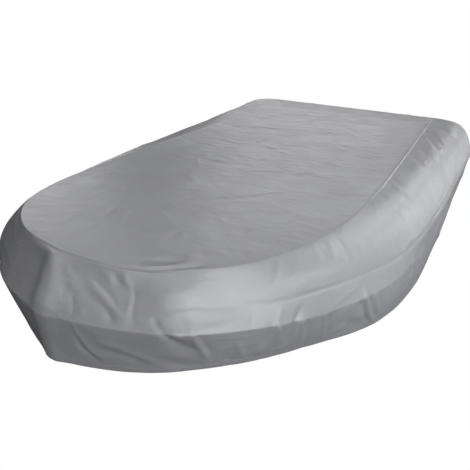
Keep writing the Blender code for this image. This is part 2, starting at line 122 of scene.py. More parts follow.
# ---- Mesh density ----
# stretches of the side panel, by length from the bow seam, and the spacing of its columns
COLUMN_SPACING = (
    (-2.8916, -2.4216, 0.020), (-2.4216, -2.3744, 0.0022), (-2.3744, -0.600, 0.022),
    (-0.600, -0.060, 0.009), (-0.060, 0.900, 0.0045), (0.900, 2.3744, 0.0068),
    (2.3744, 2.4216, 0.0018), (2.4216, 2.8916, 0.020))
# distances from the seam of the rows beside it, on both panels
NEAR_SEAM = (0.0, 0.0015, 0.003, 0.0045, 0.006, 0.0075, 0.009, 0.0105, 0.013, 0.018)
NEAR_SEAM_SHARE = 0.9  # share of the room above the first line that they may take
NEAR_SEAM_SEARCH = 60  # lines read to find them
# the side panel's other rows: first line, last line and how many steps
LINE_STEPS = (
    (0.34, 1.90, 16), (1.90, 2.10, 6), (2.10, 2.88, 9), (2.88, 3.12, 8),
    (3.12, HEM_CLOTH_LINE, 11), (HEM_CLOTH_LINE, HEM, 5))
TOP_ACROSS = 18  # quads of the top panel's coarse grid
TOP_DEEP = 33
TOP_DOUBLINGS = 3
TOP_FIRST_RELAX = 500  # rounds of evening out, on the coarse grid and on each finer one
TOP_RELAX = 150
BOW_QUARTER = 0.60  # length from the bow seam to the corners of the top panel's grid
SHARP_ANGLE = math.radians(60.0)
NORMAL_REACH = (0.002, 0.02)  # length along and lines down over which a slope is taken


def smooth_step(x):
    """0 below 0, 1 above 1, and a soft rise between."""
    x = np.clip(x, 0.0, 1.0)
    return x * x * (3.0 - 2.0 * x)


def grown(x, start, reach, share):
    """0 up to start, then a soft rise to a share."""
    return share * smooth_step((x - start) / reach)


def unit(vectors):
    """Vectors, one a row, brought to length 1."""
    return vectors / np.linalg.norm(vectors, axis=1)[:, None]


def same(along, value):
    """One value for every length along."""
    return np.full(np.shape(along), float(value))


def catmull_rom(p0, p1, p2, p3, f):
    """The smooth curve from p1 to p2 at the fraction f."""
    linear = (p2 - p0) * f
    square = (2 * p0 - 5 * p1 + 4 * p2 - p3) * f ** 2
    cube = (3 * p1 - p0 - 3 * p2 + p3) * f ** 3
    return p1 + 0.5 * (linear + square + cube)


def station_curve(column, t):
    """A station column read along the boat, t from 0 at the bow seam to 1 at the stern corner."""
    values = STATIONS[:, STATION_COLUMNS.index(column)]
    before = 2.0 * values[0] - values[1] if column in ODD_COLUMNS else values[1]
    padded = np.concatenate([[before], values, [2.0 * values[-1] - values[-2]]])
    place = np.clip(np.asarray(t, float), 0.0, 1.0) * (len(values) - 1)
    row = np.minimum(place.astype(int), len(values) - 2)
    p0, p1, p2, p3 = (padded[row + k] for k in range(4))
    return catmull_rom(p0, p1, p2, p3, place - row)


def half_outline():
    """Half the seam, bow to middle of the stern: rows of x, y, station, length and port x."""
    side_steps, corner_steps, stern_steps = OUTLINE_STEPS
    t = np.linspace(0.0, 1.0, side_steps)
    side = np.column_stack([station_curve("rim_x", t), -station_curve("rim_y", t), t])
    turn = np.linspace(0.0, math.pi / 2, corner_steps)[1:]
    middle = TRANSOM_WIDTH / 2 - CORNER_RADIUS
    corner = np.column_stack([
        middle + CORNER_RADIUS * np.cos(turn), CORNER_RADIUS * (np.sin(turn) - 1.0),
        np.ones(len(turn))])
    across = np.linspace(middle, 0.0, stern_steps)[1:]
    stern = np.column_stack([across, np.zeros(len(across)), np.ones(len(across))])
    line = np.concatenate([side, corner, stern])
    steps = np.linalg.norm(np.diff(line[:, :2], axis=0), axis=1)
    length = np.concatenate([[0.0], np.cumsum(steps)])
    return np.column_stack([line, length, station_curve("port_in", line[:, 2]) - line[:, 0]])


OUTLINE = half_outline()
HALF_LENGTH = OUTLINE[-1, 3]
CORNER_ARC = CORNER_RADIUS * math.pi / 2
CORNER_ALONG = HALF_LENGTH - TRANSOM_WIDTH / 2 + CORNER_RADIUS - CORNER_ARC / 2


def seam_place(along):
    """Place of the seam in plan, for signed lengths from the bow."""
    length = np.abs(along)
    port, starboard, y = (np.interp(length, OUTLINE[:, 3], OUTLINE[:, k]) for k in (4, 0, 1))
    y = y - BOW_POINT * np.clip(1.0 - length / BOW_POINT_REACH, 0.0, 1.0) ** 2
    return np.where(along < 0.0, port, starboard), y


def rim(along):
    """Points on the seam, stations and outward directions, for signed lengths from the bow."""
    along = np.asarray(along, float)
    x, y = seam_place(along)
    t = np.interp(np.abs(along), OUTLINE[:, 3], OUTLINE[:, 2])
    ahead_x, ahead_y = seam_place(along + SEAM_REACH)
    behind_x, behind_y = seam_place(along - SEAM_REACH)
    past_stern = np.abs(along) > HALF_LENGTH - 2 * SEAM_REACH
    dx = np.where(past_stern, -1.0, ahead_x - behind_x)
    dy = np.where(past_stern, 0.0, ahead_y - behind_y)
    size = np.hypot(dx, dy)
    return x, y, t, dy / size, -dx / size


def outward(along):
    """Level directions out from the seam."""
    _, _, _, out_x, out_y = rim(along)
    return np.column_stack([out_x, out_y, 0 * out_x])


def seam_direction(along, lean):
    """Directions up from the seam that lean outward by a slope."""
    return unit(lean * outward(along) + np.array((0.0, 0.0, 1.0)))


def rise(y):
    """Height of the seam above its height at the stern."""
    return BOW_RISE * (np.clip(-y, 0.0, None) / STATIONS[0, 1]) ** RISE_POWER


def ridge(along, distance):
    """Height of the seam's ridge at a distance from the seam."""
    share = np.interp(along, *np.array(RIDGE_SHARES).T)
    return SEAM_RIDGE * share * (1.0 - smooth_step((distance - RIDGE_FLAT) / RIDGE_FALL))


def side_profile(along, down):
    """Out and drop of the side panel from its seam; its strake is a corner."""
    _, _, t, _, out_y = rim(along)
    aft = np.where(t < 1.0, 0.0, np.clip(out_y, 0.0, 1.0))
    belly = np.hypot(np.sqrt(1.0 - aft ** 2), STERN_FULLNESS * aft)
    slack = np.where(along < 0.0, station_curve("port_slack", t), 0.0) * (1.0 - aft ** 2)
    sag = np.where(along < 0.0, station_curve("port_sag", t), 0.0)
    zero = np.zeros_like(aft)
    outs = [zero] + [station_curve(line + "_out", t) * belly + share * slack
                     for line, share in zip(SIDE_LINES, SLACK_SHARES)]
    drops = [zero] + [station_curve(line + "_drop", t) + share * sag
                      for line, share in zip(SIDE_LINES, SAG_SHARES)]
    drops[SHOULDER] += STERN_FALL * aft
    waver = WAVER * sum(share * np.sin(pace * along + phase) for pace, phase, share in WAVER_WAVES)
    outs[STRAKE] += waver
    drops[HEM] += waver * HEM_WAVER
    result = []
    for lines, lead in ((outs, LEAD_OUT * outs[SHOULDER]), (drops, LEAD_DROP * drops[SHOULDER])):
        p = [lead] + lines
        spans = (
            (p[0], p[1], p[2], p[3]), (p[1], p[2], p[3], p[4]),
            (p[2], p[3], p[4], 2 * p[4] - p[3]), (2 * p[4] - p[5], p[4], p[5], 2 * p[5] - p[4]))
        row = np.clip(down.astype(int), 0, HEM - 1)
        value = zero
        for k, span in enumerate(spans):
            value = np.where(row == k, catmull_rom(*span, down - row), value)
        result.append(value)
    return result


def side_base(along, down):
    """The side panel's outer face without ridge and folds."""
    x, y, _, out_x, out_y = rim(along)
    out = 0.0
    drop = 0.0
    near = 1.0 - smooth_step(np.abs(down - STRAKE) / STRAKE_REACH)
    for shift, weight in ((-1.0, 0.25), (0.0, 0.5), (1.0, 0.25)):
        moved = np.clip(down + shift * STRAKE_SOFTNESS * near, 0.0, HEM)
        part_out, part_drop = side_profile(along, moved)
        out = out + weight * part_out
        drop = drop + weight * part_drop
    soft = np.hypot(along, BOW_CREASE_SOFT[0] + BOW_CREASE_SOFT[1] * down)
    shown = smooth_step(down / BOW_CREASE_START) * (1.0 - grown(down, *BOW_CREASE_FADE))
    out = out + BOW_CREASE * shown * np.clip(1.0 - soft / BOW_CREASE_REACH, 0.0, 1.0) ** 2
    broad = BROAD_FOLD_OUT * np.exp(-((along - BROAD_FOLD_PLACE) / BROAD_FOLD_WIDTH) ** 2)
    broad = broad * smooth_step(down) * (1.0 - grown(down, *BROAD_FADE))
    out = out + broad
    drop = drop - BROAD_LIFT * broad
    belly = SKIRT_BELLY * (1.0 - BELLY_GROWTH[-1] + grown(np.abs(along), *BELLY_GROWTH))
    out = out + belly * np.sin(math.pi * np.clip(down - STRAKE, 0.0, 1.0))
    return np.column_stack([x + out_x * out, y + out_y * out, rise(y) - drop])


# ---- Lengths down the cloth, for sizes across a fold ----
GIRTH_ALONG = np.linspace(-HALF_LENGTH, HALF_LENGTH, 400)
GIRTH_DOWN = np.linspace(0.0, HEM, 81)


def girth_table():
    """Length down the cloth from the seam, for each line and length along."""
    rows = [side_base(GIRTH_ALONG, same(GIRTH_ALONG, d)) for d in GIRTH_DOWN]
    steps = np.linalg.norm(np.diff(np.stack(rows), axis=0), axis=2)
    return np.concatenate([np.zeros((1, len(GIRTH_ALONG))), np.cumsum(steps, axis=0)])


GIRTH = girth_table()


def girth(along, down):
    """Length down the cloth from the seam to a line, or to lines one for each length along."""
    down = np.broadcast_to(down, np.shape(along))
    i = (along + HALF_LENGTH) / (2 * HALF_LENGTH) * (len(GIRTH_ALONG) - 1)
    j = down / HEM * (len(GIRTH_DOWN) - 1)
    i0 = np.clip(i.astype(int), 0, len(GIRTH_ALONG) - 2)
    j0 = np.clip(j.astype(int), 0, len(GIRTH_DOWN) - 2)
    u, v = i - i0, j - j0
    near = GIRTH[j0, i0] * (1 - v) + GIRTH[j0 + 1, i0] * v
    far = GIRTH[j0, i0 + 1] * (1 - v) + GIRTH[j0 + 1, i0 + 1] * v
    return near * (1 - u) + far * u


# ---- Folds ----
# Each fold is a soft ridge along a path, or a trough where its height is negative. A row gives its
# half width, its height before TOP_RELIEF or SIDE_RELIEF raises it, and the points of its path.
# Paths on the side panel: length from the bow seam, line down.
SIDE_FOLDS = (
    # pleats that fan out from the starboard stern corner
    (0.012, 0.003, (2.374, 0.1), (2.284, 0.57), (2.255, 0.94)),
    (0.02, -0.005, (2.34, 0.05), (2.233, 0.47), (2.165, 0.74), (2.12, 1.2)),
    (0.009, 0.004, (2.245, 0.05), (2.08, 0.48), (1.97, 0.78), (1.88, 1.15)),
    (0.009, -0.004, (2.21, 0.05), (2.05, 0.44), (1.94, 0.74), (1.87, 1.05)),
    (0.008, 0.0032, (2.15, 0.05), (2.01, 0.44), (1.89, 0.78), (1.83, 1.05)),
    (0.009, -0.0036, (2.107, 0.1), (1.966, 0.44), (1.85, 0.78), (1.79, 1.08)),
    (0.009, 0.0026, (2.05, 0.08), (1.92, 0.4), (1.799, 0.77)),
    (0.016, -0.004, (1.861, 0.12), (1.734, 0.6), (1.68, 1.08)),
    (0.011, -0.003, (1.68, 0.05), (1.622, 0.44), (1.546, 0.75)),
    (0.01, 0.0026, (1.64, 0.05), (1.585, 0.44), (1.51, 0.75)),
    (0.01, -0.0018, (1.557, 0.05), (1.5, 0.3), (1.445, 0.55)),
    # long folds of the starboard side
    (0.009, -0.0017, (1.33, 0.03), (1.29, 0.5), (1.24, 0.85), (1.195, 1.31)),
    (0.01, 0.0011, (1.285, 0.03), (1.24, 0.55), (1.19, 0.95), (1.15, 1.35)),
    (0.009, -0.0014, (1.15, 0.02), (1.076, 0.72), (1.072, 1.2), (1.07, 1.5)),
    (0.01, 0.0009, (1.185, 0.1), (1.12, 0.7), (1.105, 1.3)),
    (0.009, 0.0012, (0.708, 0.2), (0.69, 0.6), (0.664, 1.12)),
    (0.01, -0.0012, (0.742, 0.3), (0.73, 0.8), (0.712, 1.38)),
    (0.008, 0.0014, (0.528, 0.2), (0.512, 0.56), (0.496, 0.84), (0.468, 1.42)),
    (0.008, -0.0007, (0.552, 0.4), (0.535, 0.8), (0.523, 1.6)),
    # the crease that stands along the bow seam
    (0.04, 0.004, (0.0, 0.05), (0.0, 1.5), (0.0, 2.95)),
    # diagonal folds beside the bow
    (0.01, 0.0022, (0.097, 1.04), (0.118, 1.32), (0.139, 1.6), (0.166, 2.04), (0.202, 2.74)),
    (0.006, -0.0024, (0.104, 0.98), (0.134, 1.28), (0.152, 1.54), (0.171, 1.94)),
    (0.008, -0.002, (0.091, 1.74), (0.121, 1.82), (0.145, 2.1), (0.157, 2.4), (0.175, 2.74)),
    (0.004, -0.0008, (0.145, 2.1), (0.157, 2.4), (0.168, 2.6)),
    (0.007, 0.0013, (0.118, 0.54), (0.137, 0.62), (0.148, 0.92)),
    (0.007, -0.0015, (0.15, 0.5), (0.158, 0.7), (0.168, 0.92)),
    (0.006, 0.0014, (0.176, 0.4), (0.178, 0.72), (0.194, 0.88)),
    (0.005, -0.0013, (0.196, 0.86), (0.2, 1.26), (0.199, 1.92), (0.202, 2.7)),
    (0.006, 0.0007, (0.188, 1.3), (0.189, 2.5)),
    # the long crease down from the bow to the hem
    (0.006, 0.001, (0.054, 1.2), (0.06, 1.46), (0.065, 1.7)),
    (0.004, -0.0014, (0.062, 1.7), (0.07, 2.06), (0.076, 2.34), (0.088, 3.02)),
    (0.004, 0.001, (0.082, 2.32), (0.083, 2.66), (0.089, 3.16), (0.096, 3.38)),
    (0.006, 0.0012, (0.096, 3.3), (0.107, 3.52), (0.121, 3.64), (0.14, 3.8)),
    (0.006, -0.0022, (0.082, 3.28), (0.09, 3.52), (0.103, 3.66), (0.124, 3.84)),
    (0.01, -0.0008, (0.03, 1.62), (0.06, 1.7), (0.092, 1.76)),
    (0.006, 0.0008, (0.1, 2.2), (0.092, 2.6)),
    # folds that cross the strake into the skirt
    (0.007, -0.0028, (0.236, 2.02), (0.253, 2.7), (0.268, 3.1), (0.279, 3.3)),
    (0.006, 0.002, (0.272, 2.7), (0.282, 2.96), (0.29, 3.06)),
    (0.02, -0.004, (0.268, 3.12), (0.292, 3.34), (0.312, 3.52)),
    (0.006, 0.0026, (0.292, 1.84), (0.304, 2.5), (0.313, 3.2), (0.328, 3.54), (0.344, 3.88)),
    (0.008, -0.002, (0.318, 2.9), (0.325, 3.24), (0.34, 3.54)),
    (0.008, 0.0016, (0.118, 3.3), (0.14, 3.36), (0.169, 3.42), (0.202, 3.55), (0.246, 3.74)),
    (0.01, -0.0016, (0.11, 3.38), (0.14, 3.46), (0.18, 3.58), (0.22, 3.74)),
    (0.012, -0.0018, (0.23, 3.6), (0.27, 3.74), (0.3, 3.9)),
    (0.006, 0.0014, (0.322, 3.66), (0.334, 3.98)),
    (0.009, -0.001, (0.36, 3.6), (0.384, 3.8)),
    (0.006, 0.0018, (0.386, 3.24), (0.394, 3.4), (0.411, 3.8)),
    (0.012, 0.0013, (0.31, 2.72), (0.36, 2.45), (0.408, 2.26), (0.44, 2.2)),
    (0.006, 0.0024, (0.496, 1.96), (0.482, 2.5), (0.475, 2.9), (0.482, 3.2), (0.491, 3.6)),
    (0.005, 0.003, (0.48, 2.98), (0.471, 3.16), (0.459, 3.48), (0.443, 3.88)),
    (0.01, -0.0012, (0.462, 2.6), (0.452, 3.1), (0.436, 3.6)),
    (0.006, -0.0034, (0.544, 2.26), (0.53, 2.66), (0.517, 2.98), (0.512, 3.34), (0.508, 3.7)),
    (0.005, 0.0024, (0.534, 2.8), (0.54, 3.1), (0.55, 3.44), (0.563, 3.82)),
    (0.006, -0.0022, (0.552, 3.0), (0.566, 3.4), (0.578, 3.76)),
    (0.005, 0.001, (0.526, 2.96), (0.524, 3.5)),
    (0.005, 0.0024, (0.6, 2.9), (0.606, 3.16), (0.618, 3.5), (0.632, 3.86)),
    (0.008, -0.0024, (0.614, 3.06), (0.626, 3.44), (0.64, 3.84)),
    (0.016, -0.002, (0.66, 3.36), (0.715, 3.66), (0.77, 3.94)),
    (0.007, 0.0046, (0.738, 2.5), (0.736, 3.0), (0.744, 3.26), (0.76, 3.54), (0.8, 3.92)),
    (0.007, -0.0036, (0.752, 2.96), (0.766, 3.28), (0.789, 3.64), (0.812, 3.86)),
    (0.007, -0.003, (0.718, 2.96), (0.728, 3.2), (0.742, 3.46), (0.77, 3.78)),
    (0.006, 0.0016, (0.774, 2.98), (0.786, 3.32), (0.804, 3.72)),
    (0.006, 0.0018, (0.852, 2.96), (0.858, 3.2), (0.868, 3.56)),
    (0.007, -0.0012, (0.866, 2.98), (0.876, 3.5)),
    (0.008, 0.0018, (1.05, 2.3), (1.04, 2.7), (1.026, 3.2), (1.02, 3.6)),
    (0.009, -0.002, (1.0, 2.96), (1.012, 3.3)),
    (0.012, 0.0018, (1.11, 2.9), (1.12, 3.3), (1.13, 3.85)),
    (0.012, -0.0018, (1.18, 2.35), (1.165, 2.75), (1.15, 3.2)),
    (0.014, 0.0022, (1.42, 2.7), (1.445, 3.2), (1.47, 3.9)),
    (0.012, -0.0018, (1.45, 2.8), (1.475, 3.2), (1.5, 3.9)),
    (0.014, -0.0024, (1.9, 2.6), (1.88, 3.1), (1.86, 3.9)),
    (0.016, 0.0024, (2.25, 2.6), (2.22, 3.1), (2.19, 3.9)),
    # port side and stern
    (0.007, 0.0009, (-0.33, 0.3), (-0.28, 0.42), (-0.22, 0.5)),
    (0.008, -0.0006, (-0.3, 0.12), (-0.24, 0.22), (-0.17, 0.28)),
    (0.016, 0.0014, (-2.38, 0.08), (-2.29, 0.6), (-2.25, 1.1)),
    (0.024, -0.0024, (-2.345, 0.05), (-2.22, 0.5), (-2.13, 1.2)),
    (0.016, 0.0018, (-2.26, 0.05), (-2.1, 0.5), (-1.99, 1.1)),
    (0.012, -0.0018, (-2.18, 0.06), (-2.03, 0.5), (-1.92, 1.0)),
    (0.013, 0.0012, (-2.1, 0.08), (-1.96, 0.45), (-1.85, 0.95)),
    (0.016, -0.0014, (-1.9, 0.08), (-1.8, 0.5), (-1.72, 1.05)),
    (0.014, -0.0016, (-1.3, 0.05), (-1.23, 0.6), (-1.18, 1.3)),
    (0.014, 0.0012, (-1.255, 0.08), (-1.19, 0.6), (-1.14, 1.2)),
    (0.014, 0.0024, (-0.82, 2.2), (-0.86, 3.0), (-0.88, 3.9)),
    (0.012, -0.002, (-0.845, 2.5), (-0.885, 3.1), (-0.91, 3.85)),
    (0.014, 0.0014, (-0.44, 0.6), (-0.47, 1.4), (-0.5, 2.5)),
    (0.012, -0.0022, (-0.23, 2.2), (-0.26, 3.0), (-0.29, 3.9)),
    (0.014, -0.0024, (-1.65, 2.5), (-1.61, 3.1), (-1.59, 3.9)),
    (0.018, -0.0024, (-2.7, 1.2), (-2.67, 2.4), (-2.65, 3.8)),
    (0.018, 0.0024, (2.74, 0.6), (2.71, 2.0), (2.68, 3.6)),
    (0.014, 0.0018, (2.52, 0.15), (2.545, 1.0), (2.56, 2.1)),
    (0.014, -0.0018, (-2.54, 0.2), (-2.52, 1.2), (-2.5, 2.4)),
)
# the dark line pressed into the cloth over the edge of the strake
PRESSED_LINE = (
    (0.19, 1.72), (0.26, 1.6), (0.32, 1.48), (0.38, 1.56), (0.44, 1.65), (0.47, 1.8), (0.52, 1.88),
    (0.58, 1.92), (0.67, 1.94), (0.79, 1.97), (0.88, 2.08), (0.98, 2.12), (1.4, 2.1), (2.3, 2.06))
PRESSED_WIDTH = 0.005
PRESSED_DEPTH = 0.0012
PRESSED_IN = 0.05  # length over which it comes in at its fore end
PRESSED_OUT = 0.3  # and goes out at its after end

# Paths on the top panel: x, and y counted forward from the stern.
TOP_FOLDS = (
    # broad folds, as the solid has them
    (0.04, 0.0014, (-0.36, 0.665), (-0.165, 0.62), (0.03, 0.575)),
    (0.045, -0.0014, (-0.13, 0.335), (0.12, 0.3), (0.37, 0.265)),
    (0.04, 0.0014, (-0.35, 0.3), (-0.18, 0.26), (-0.01, 0.22)),
    (0.05, 0.0009, (-0.38, 0.957), (-0.24, 0.9), (-0.1, 0.843)),
    (0.05, -0.0014, (-0.37, 1.66), (-0.25, 1.56), (-0.13, 1.46)),
    # the pinch at the bow and the folds that run into it
    (0.009, -0.003, (0.165, 2.086), (0.205, 2.064), (0.235, 2.044), (0.262, 2.014)),
    (0.009, 0.0028, (0.175, 2.05), (0.208, 2.03), (0.252, 2.008), (0.304, 1.99)),
    (0.008, 0.0024, (0.2, 2.098), (0.232, 2.074), (0.262, 2.04), (0.29, 2.006)),
    (0.007, -0.003, (0.214, 2.104), (0.25, 2.072), (0.286, 2.033), (0.318, 1.99)),
    # long creases of the middle
    (0.007, 0.0012, (0.06, 1.655), (0.097, 1.602), (0.161, 1.524), (0.193, 1.467), (0.261, 1.398)),
    (0.007, -0.0007, (0.072, 1.67), (0.11, 1.615), (0.175, 1.535), (0.21, 1.475)),
    (0.006, 0.0009, (0.12, 1.655), (0.157, 1.605), (0.192, 1.582), (0.225, 1.548)),
    (0.007, 0.0007, (0.16, 1.69), (0.199, 1.646)),
    (0.008, 0.0005, (-0.046, 1.753), (-0.016, 1.714), (0.022, 1.676)),
    (0.007, 0.001, (-0.25, 1.77), (-0.229, 1.733), (-0.205, 1.705)),
    (0.007, 0.001, (0.004, 1.297), (0.06, 1.259), (0.129, 1.223)),
    (0.006, -0.0007, (0.03, 1.31), (0.085, 1.275), (0.143, 1.238)),
    (0.007, 0.0007, (-0.043, 1.225), (-0.014, 1.191)),
    (0.006, 0.001, (0.293, 1.797), (0.293, 1.757), (0.309, 1.738), (0.346, 1.711)),
    (0.006, 0.0006, (0.318, 1.765), (0.348, 1.736)),
    (0.006, 0.0006, (0.376, 1.803), (0.393, 1.76)),
    (0.007, 0.0005, (0.301, 1.702), (0.341, 1.679)),
    # crumples of the fore part
    (0.006, 0.001, (-0.058, 1.962), (-0.074, 1.925), (-0.107, 1.864)),
    (0.006, -0.0007, (-0.048, 1.95), (-0.078, 1.886)),
    (0.006, 0.0009, (-0.026, 2.05), (-0.039, 2.019), (-0.052, 1.987)),
    (0.008, 0.0012, (-0.081, 1.873), (-0.07, 1.848), (-0.04, 1.873), (-0.009, 1.913),
     (0.034, 1.966), (0.064, 1.999)),
    (0.01, -0.0012, (-0.06, 1.895), (-0.03, 1.905)),
    (0.007, 0.001, (-0.035, 1.858), (-0.02, 1.835), (0.013, 1.827), (0.063, 1.849),
     (0.121, 1.885), (0.165, 1.919)),
    (0.007, 0.001, (0.16, 1.912), (0.198, 1.947)),
    (0.007, -0.0008, (0.142, 1.905), (0.172, 1.95)),
    (0.008, 0.0007, (0.118, 2.009), (0.14, 2.015)),
    (0.007, 0.0007, (-0.1, 1.605), (-0.076, 1.562), (-0.051, 1.528)),
    (0.006, 0.0009, (0.096, 1.79), (0.122, 1.777), (0.153, 1.772)),
    (0.006, 0.0008, (0.173, 1.744), (0.212, 1.79), (0.228, 1.785), (0.215, 1.75)),
    (0.007, 0.0007, (0.298, 1.905), (0.33, 1.895)),
    (0.022, 0.0014, (-0.21, 1.93), (-0.17, 1.96), (-0.13, 1.98)),
    # small creases of the after part
    (0.009, -0.001, (-0.319, 0.662), (-0.214, 0.658), (-0.064, 0.604), (-0.002, 0.643)),
    (0.01, 0.0009, (-0.2, 0.564), (-0.091, 0.496)),
    (0.009, 0.0009, (-0.158, 0.928), (-0.145, 0.866), (-0.142, 0.744)),
    (0.009, 0.0008, (-0.294, 0.966), (-0.224, 0.973), (-0.151, 0.941)),
    (0.009, -0.0008, (-0.153, 1.093), (-0.098, 1.023)),
    (0.009, 0.001, (-0.131, 0.91), (-0.034, 0.964), (0.043, 1.006), (0.084, 1.008)),
    (0.009, 0.0008, (-0.084, 0.862), (0.0, 0.875), (0.053, 0.84), (0.132, 0.853)),
    (0.01, 0.0009, (-0.084, 0.513), (0.043, 0.496), (0.145, 0.473)),
    (0.01, -0.0008, (0.011, 0.653), (0.118, 0.605)),
    (0.011, 0.001, (0.114, 0.432), (0.18, 0.5), (0.25, 0.593)),
    (0.01, -0.0009, (0.135, 0.415), (0.2, 0.48)),
)
# how far the tables' folds and the crumples are raised
TOP_RELIEF = 2.0
SIDE_RELIEF = 1.5
# crumples too small to list one by one: seed, how many, the corners of their rectangle, direction
# and spread in radians
SIDE_CRUMPLES = (11, 260, (-2.8, 0.03), (2.8, 0.36), 1.35, 0.5)
TOP_CRUMPLES = (7, 420, (-0.47, 0.03), (0.47, 2.10), -0.35, 0.55)
CRUMPLE_LENGTH = (0.012, 0.055)  # half of it
CRUMPLE_WIDTH = (0.006, 0.012)
CRUMPLE_HEIGHT = (-0.0008, 0.0010)
CRUMPLE_BEND = 0.2  # spread of the bend, as a share of half the length
# slow unevenness of the cloth: seed, size and height
SIDE_SWELLS = ((3, 0.28, 0.0006), (4, 0.10, 0.0003))
TOP_SWELLS = ((5, 0.40, 0.0006), (6, 0.12, 0.0003))
SWELL_WAVES = 9  # waves in each, of these shares of its size
SWELL_SIZES = (0.7, 1.6)

CREST = 1.5  # 2 is a rounded fold, 1 a sharp one
FOLD_REACH = 4  # half widths beyond its path within which a fold is worked out
FOLD_IN = (0.22, 0.15)  # share of its path over which a fold comes in, and how much its end has
FOLD_OUT = (0.30, 0.10)  # the same where it goes out
SIDE_FOLD_START = 0.004  # distance from the seam where the folds begin
TOP_FOLD_START = 0.003
FOLD_START_REACH = 0.012  # length over which they begin


def path_field(u, v, path, width):
    """A fold's cross profile, 1 on its path, and its fade towards its ends."""
    steps = np.linalg.norm(np.diff(path, axis=0), axis=1)
    total = steps.sum()
    best = np.full(u.shape, np.inf)
    place = np.zeros(u.shape)
    before = 0.0
    for k in range(len(path) - 1):
        ax, ay = path[k]
        dx, dy = (path[k + 1] - path[k]) / steps[k]
        along = (u - ax) * dx + (v - ay) * dy
        across = -(u - ax) * dy + (v - ay) * dx
        inside = np.clip(along, 0.0, steps[k])
        far = np.hypot(across, along - inside)
        closer = far < best
        best = np.where(closer, far, best)
        place = np.where(closer, (before + inside) / total, place)
        before += steps[k]
    profile = np.exp(-(best / width) ** CREST)
    fade = smooth_step(place / FOLD_IN[0] + FOLD_IN[1])
    fade = fade * smooth_step((1.0 - place) / FOLD_OUT[0] + FOLD_OUT[1])
    return profile * fade


def fold_relief(u, v, folds):
    """Height of a table of folds, with paths in metres."""
    total = np.zeros(u.shape)
    for width, height, *path in folds:
        path = np.array(path, float)
        low = path.min(axis=0) - FOLD_REACH * width
        high = path.max(axis=0) + FOLD_REACH * width
        near = (u > low[0]) & (u < high[0]) & (v > low[1]) & (v < high[1])
        if near.any():
            total[near] += height * path_field(u[near], v[near], path, width)
    return total


def crumples(seed, count, low, high, turn, spread):
    """A table of small folds scattered over a rectangle, mostly in one direction."""
    rng = np.random.default_rng(seed)
    folds = []
    for _ in range(count):
        middle = rng.uniform(low, high)
        angle = turn + rng.normal(0.0, spread)
        half = rng.uniform(*CRUMPLE_LENGTH)
        bend = rng.normal(0.0, CRUMPLE_BEND) * half
        ahead = np.array((math.cos(angle), math.sin(angle))) * half
        aside = np.array((-math.sin(angle), math.cos(angle))) * bend
        width = rng.uniform(*CRUMPLE_WIDTH)
        height = rng.uniform(*CRUMPLE_HEIGHT)
        folds.append((width, height, middle - ahead, middle + aside, middle + ahead))
    return folds


def swell(u, v, seed, size, height):
    """A slow unevenness of the cloth."""
    rng = np.random.default_rng(seed)
    total = np.zeros(np.shape(u))
    for _ in range(SWELL_WAVES):
        angle, phase = rng.uniform(0.0, 2 * math.pi, 2)
        wave = 2 * math.pi / (size * rng.uniform(*SWELL_SIZES))
        total += np.sin((u * math.cos(angle) + v * math.sin(angle)) * wave + phase)
    return total * height / math.sqrt(SWELL_WAVES)


def metric_folds():
    """The side folds with their lines turned into lengths down the cloth."""
    folds = []
    for width, height, *path in SIDE_FOLDS:
        along, down = np.array(path).T
        folds.append((width, height, *np.column_stack([along, girth(along, down)])))
    return folds


SIDE_METRIC_FOLDS = metric_folds()
SIDE_SMALL = crumples(*SIDE_CRUMPLES)
TOP_SMALL = crumples(*TOP_CRUMPLES)


def side_height(along, down):
    """Height of the side panel's ridge, folds and crumples over its base."""
    v = girth(along, down)
    placed = fold_relief(along, v, SIDE_METRIC_FOLDS)
    fold = SIDE_RELIEF * (placed + fold_relief(along, v, SIDE_SMALL))
    fold += sum(swell(along, v, *row) for row in SIDE_SWELLS)
    line = np.array(PRESSED_LINE)
    pressed = girth(along, np.interp(along, line[:, 0], line[:, 1]))
    shown = smooth_step((along - line[0, 0]) / PRESSED_IN)
    shown = shown * smooth_step((line[-1, 0] - along) / PRESSED_OUT)
    fold -= PRESSED_DEPTH * shown * np.exp(-((v - pressed) / PRESSED_WIDTH) ** 2)
    hem = girth(along, HEM) - v
    fold += HEM_STEP * (1.0 - smooth_step((hem - HEM_TURN) / HEM_STEP_FALL + 0.5))
    return ridge(along, v) + fold * smooth_step((v - SIDE_FOLD_START) / FOLD_START_REACH)


def side_point(along, down):
    """Outer face of the side panel and its outward direction."""
    along = np.asarray(along, float)
    down = np.asarray(down, float)
    reach, lines = NORMAL_REACH
    ahead = side_base(along + reach, down) - side_base(along - reach, down)
    below = (side_base(along, np.clip(down + lines, 0, HEM))
             - side_base(along, np.clip(down - lines, 0, HEM)))
    normal = unit(np.cross(below, ahead))
    own = np.clip(girth(along, down) / SEAM_LEAN_REACH, 0.0, 1.0)[:, None]
    normal = unit(normal * own + seam_direction(along, SEAM_LEAN) * (1.0 - own))
    return side_base(along, down) + normal * side_height(along, down)[:, None], normal


def seam_distance(x, y):
    """Distance in plan to the seam."""
    edge = np.concatenate([OUTLINE[:, [0, 1]], OUTLINE[:, [4, 1]]])
    tree = KDTree(len(edge))
    for k, (ex, ey) in enumerate(edge):
        tree.insert((ex, ey, 0.0), k)
    tree.balance()
    return np.array([tree.find((px, py, 0.0))[2] for px, py in zip(x, y)])


